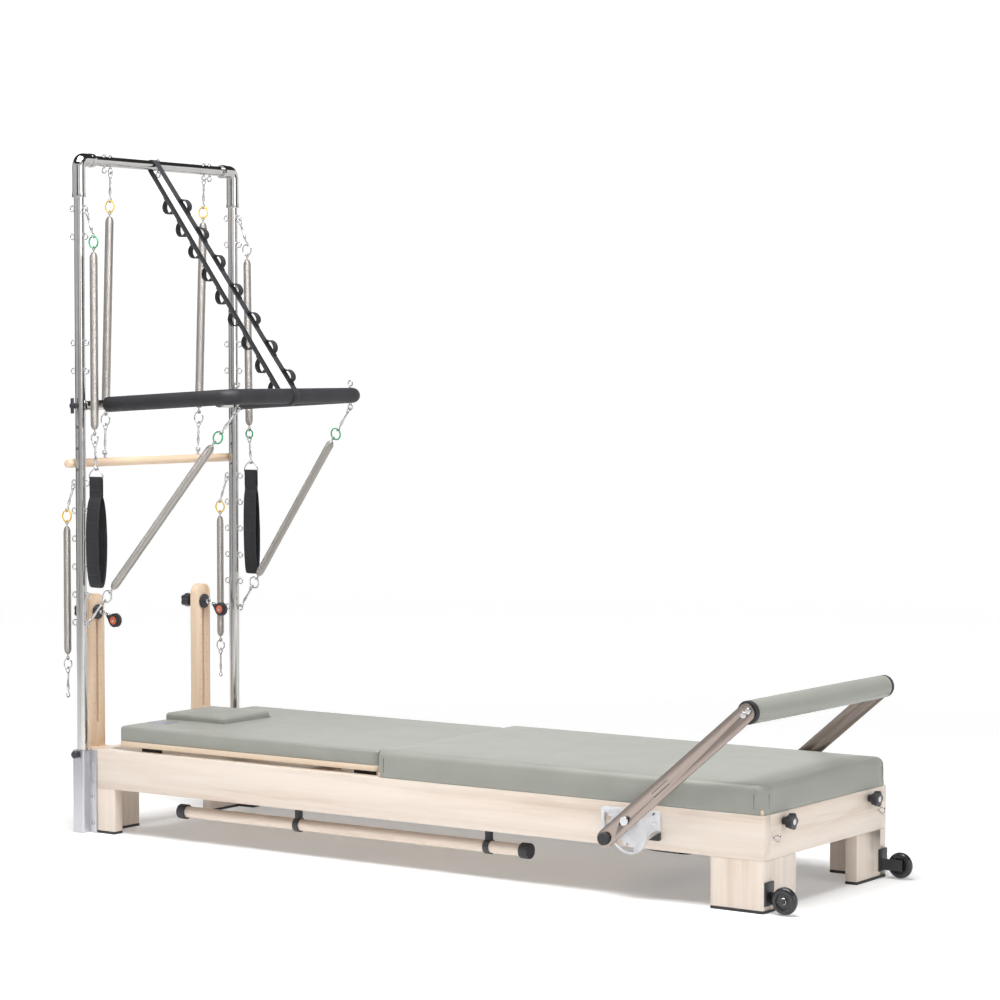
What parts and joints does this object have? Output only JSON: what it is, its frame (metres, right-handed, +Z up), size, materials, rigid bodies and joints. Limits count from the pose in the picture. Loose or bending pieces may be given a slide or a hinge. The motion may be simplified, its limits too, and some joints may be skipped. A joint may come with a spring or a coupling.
{
  "type": "pilates reformer",
  "caption": "Pilates reformer with a wooden frame, padded carriage and mat, tilting footbar and a chrome spring tower with push-through bar.",
  "frame": {"origin": "on the floor under the middle of the bounding box", "axes": "+X along the frame to the foot end, +Y to the far side, +Z up"},
  "size_m": [2.634, 0.828, 2.112],
  "materials": {
    "maple": "clear satin lacquer on pale maple",
    "riser_maple": "oiled maple",
    "plywood": "birch plywood with a clear seal",
    "black_rubber": "matt rubber",
    "aluminium": "satin anodised",
    "painted_steel": "black powder coat",
    "black_steel": "black powder coat",
    "spring_steel": "nickel-plated closed coils",
    "chrome": "polished",
    "zinc_steel": "bright plated",
    "satin_steel": "brushed",
    "polished_steel": "polished stainless flat bar",
    "black_webbing": "woven nylon webbing",
    "black_plastic": "moulded",
    "sage_vinyl": "sage grey upholstery vinyl",
    "black_foam": "closed-cell foam grip",
    "urethane": "cast urethane",
    "wheel_black": "cast urethane on a moulded hub"
  },
  "bodies": {
    "frame": {"side_rails": "maple", "end_boards": "maple", "legs": "maple", "foot_pads": "black_rubber", "cross_braces": "plywood", "carriage_tracks": "aluminium", "spring_bar": "painted_steel", "carriage_springs": "spring_steel", "rubber_stops": "black_rubber", "tower_brackets": "aluminium", "tower_posts": "chrome", "tower_elbows": "chrome", "tower_top_bar": "chrome", "eyebolts": "zinc_steel", "risers": "riser_maple", "footbar_plates": "satin_steel", "frame_screws": "zinc_steel", "wheel_brackets": "black_steel", "foot_strap": "black_webbing", "pole_clips": "black_plastic", "push_bar_handles": "black_plastic", "push_springs": "spring_steel", "ladder_strap": "black_webbing"},
    "carriage": {"carriage_board": "plywood", "carriage_cushion": "sage_vinyl", "shoulder_sockets": "satin_steel", "carriage_runners": "painted_steel"},
    "wheels_head": {"carriage_wheels_head": "urethane"},
    "wheels_foot": {"carriage_wheels_foot": "urethane"},
    "headrest": {"headrest_board": "plywood", "headrest_cushion": "sage_vinyl"},
    "mat": {"mat_board": "plywood", "mat_cushion": "sage_vinyl"},
    "footbar_pivot": {"footbar_pivots": "zinc_steel"},
    "footbar": {"footbar_arms": "polished_steel", "footbar_tube": "zinc_steel", "footbar_pad": "sage_vinyl", "footbar_grips": "black_rubber"},
    "push_bar": {"push_bar_tube": "chrome", "push_bar_sleeve": "black_foam"},
    "roll_down": {"roll_down_bar": "maple", "roll_down_springs": "spring_steel"},
    "arm_near": {"arm_spring_near": "spring_steel", "hand_loop_near": "black_webbing"},
    "arm_far": {"arm_spring_far": "spring_steel", "hand_loop_far": "black_webbing"},
    "leg_near": {"leg_spring_near": "spring_steel"},
    "leg_far": {"leg_spring_far": "spring_steel"},
    "wheel_near": {"transport_wheel_near": "wheel_black"},
    "wheel_far": {"transport_wheel_far": "wheel_black"},
    "pulley_slide_near": {"pulley_slide_near": "black_plastic"},
    "pulley_slide_far": {"pulley_slide_far": "black_plastic"},
    "pulley_near": {"pulley_block_near": "black_plastic"},
    "pulley_far": {"pulley_block_far": "black_plastic"},
    "mat_knob_near": {"mat_knob_near": "black_plastic"},
    "mat_knob_far": {"mat_knob_far": "black_plastic"},
    "bracket_knob_near": {"bracket_knob_near": "black_plastic"},
    "bracket_knob_far": {"bracket_knob_far": "black_plastic"},
    "pole": {"storage_pole": "maple", "storage_pole_caps": "black_rubber"}
  },
  "joints": [
    {"name": "carriage_slide", "type": "slide", "parent": "frame", "child": "carriage", "axis": [1, 0, 0], "range_m": [-0.045, 0]},
    {"name": "wheels_head_roll", "type": "hinge", "parent": "carriage", "child": "wheels_head", "pos_m": [-0.994, 0, 0.2243], "axis": [0, 1, 0], "range_deg": [-130, 1]},
    {"name": "wheels_foot_roll", "type": "hinge", "parent": "carriage", "child": "wheels_foot", "pos_m": [-0.162, 0, 0.2243], "axis": [0, 1, 0], "range_deg": [-130, 1]},
    {"name": "headrest_tilt", "type": "hinge", "parent": "carriage", "child": "headrest", "pos_m": [-0.8325, 0, 0.339], "axis": [0, 1, 0], "range_deg": [0, 30]},
    {"name": "mat_lift", "type": "slide", "parent": "frame", "child": "mat", "axis": [0, 0, 1], "range_m": [0, 0.12]},
    {"name": "footbar_tilt", "type": "hinge", "parent": "frame", "child": "footbar_pivot", "pos_m": [0.82, 0, 0.22], "axis": [0, -1, 0], "range_deg": [-28, 50]},
    {"name": "footbar_lift", "type": "slide", "parent": "footbar_pivot", "child": "footbar", "axis": [0.7627, 0, 0.6468], "range_m": [0, 0.012]},
    {"name": "push_bar_swing", "type": "hinge", "parent": "frame", "child": "push_bar", "pos_m": [-1.198, 0, 1.33], "axis": [0, -1, 0], "range_deg": [0, 40], "deforming": ["push_springs", "ladder_strap"]},
    {"name": "roll_down_swing", "type": "hinge", "parent": "frame", "child": "roll_down", "pos_m": [-1.198, 0, 2.0586], "axis": [0, 1, 0], "range_deg": [0, 50]},
    {"name": "arm_near_swing", "type": "hinge", "parent": "frame", "child": "arm_near", "pos_m": [-1.1702, -0.368, 1.9354], "axis": [0, -1, 0], "range_deg": [0, 75]},
    {"name": "leg_near_swing", "type": "hinge", "parent": "frame", "child": "leg_near", "pos_m": [-1.2258, -0.368, 1.0864], "axis": [0, 1, 0], "range_deg": [0, 60]},
    {"name": "wheel_near_spin", "type": "hinge", "parent": "frame", "child": "wheel_near", "pos_m": [1.28, -0.335, 0.039], "axis": [0, 1, 0], "continuous": true},
    {"name": "pulley_near_height", "type": "slide", "parent": "frame", "child": "pulley_slide_near", "axis": [0, 0, 1], "range_m": [-0.33, 0]},
    {"name": "pulley_near_swivel", "type": "hinge", "parent": "pulley_slide_near", "child": "pulley_near", "pos_m": [-1.2108, -0.256, 0.68], "axis": [0, 1, 0], "range_deg": [-40, 45]},
    {"name": "mat_knob_near_turn", "type": "hinge", "parent": "frame", "child": "mat_knob_near", "pos_m": [1.226, -0.246, 0.237], "axis": [1, 0, 0], "continuous": true},
    {"name": "bracket_knob_near_turn", "type": "hinge", "parent": "frame", "child": "bracket_knob_near", "pos_m": [-1.198, -0.395, 0.246], "axis": [0, 1, 0], "continuous": true},
    {"name": "arm_far_swing", "type": "hinge", "parent": "frame", "child": "arm_far", "pos_m": [-1.1702, 0.368, 1.9354], "axis": [0, -1, 0], "range_deg": [0, 75]},
    {"name": "leg_far_swing", "type": "hinge", "parent": "frame", "child": "leg_far", "pos_m": [-1.2258, 0.368, 1.0864], "axis": [0, 1, 0], "range_deg": [0, 60]},
    {"name": "wheel_far_spin", "type": "hinge", "parent": "frame", "child": "wheel_far", "pos_m": [1.28, 0.335, 0.039], "axis": [0, 1, 0], "continuous": true},
    {"name": "pulley_far_height", "type": "slide", "parent": "frame", "child": "pulley_slide_far", "axis": [0, 0, 1], "range_m": [-0.33, 0]},
    {"name": "pulley_far_swivel", "type": "hinge", "parent": "pulley_slide_far", "child": "pulley_far", "pos_m": [-1.2108, 0.256, 0.68], "axis": [0, 1, 0], "range_deg": [-40, 45]},
    {"name": "mat_knob_far_turn", "type": "hinge", "parent": "frame", "child": "mat_knob_far", "pos_m": [1.226, 0.246, 0.237], "axis": [1, 0, 0], "continuous": true},
    {"name": "bracket_knob_far_turn", "type": "hinge", "parent": "frame", "child": "bracket_knob_far", "pos_m": [-1.198, 0.395, 0.246], "axis": [0, 1, 0], "continuous": true},
    {"name": "pole_slide", "type": "slide", "parent": "frame", "child": "pole", "axis": [1, 0, 0], "range_m": [-0.09, 0.3]}
  ],
  "couplings": [
    {"joint": "wheels_head_roll", "follows": "carriage_slide", "rad_per_m": 50},
    {"joint": "wheels_foot_roll", "follows": "carriage_slide", "rad_per_m": 50}
  ]
}
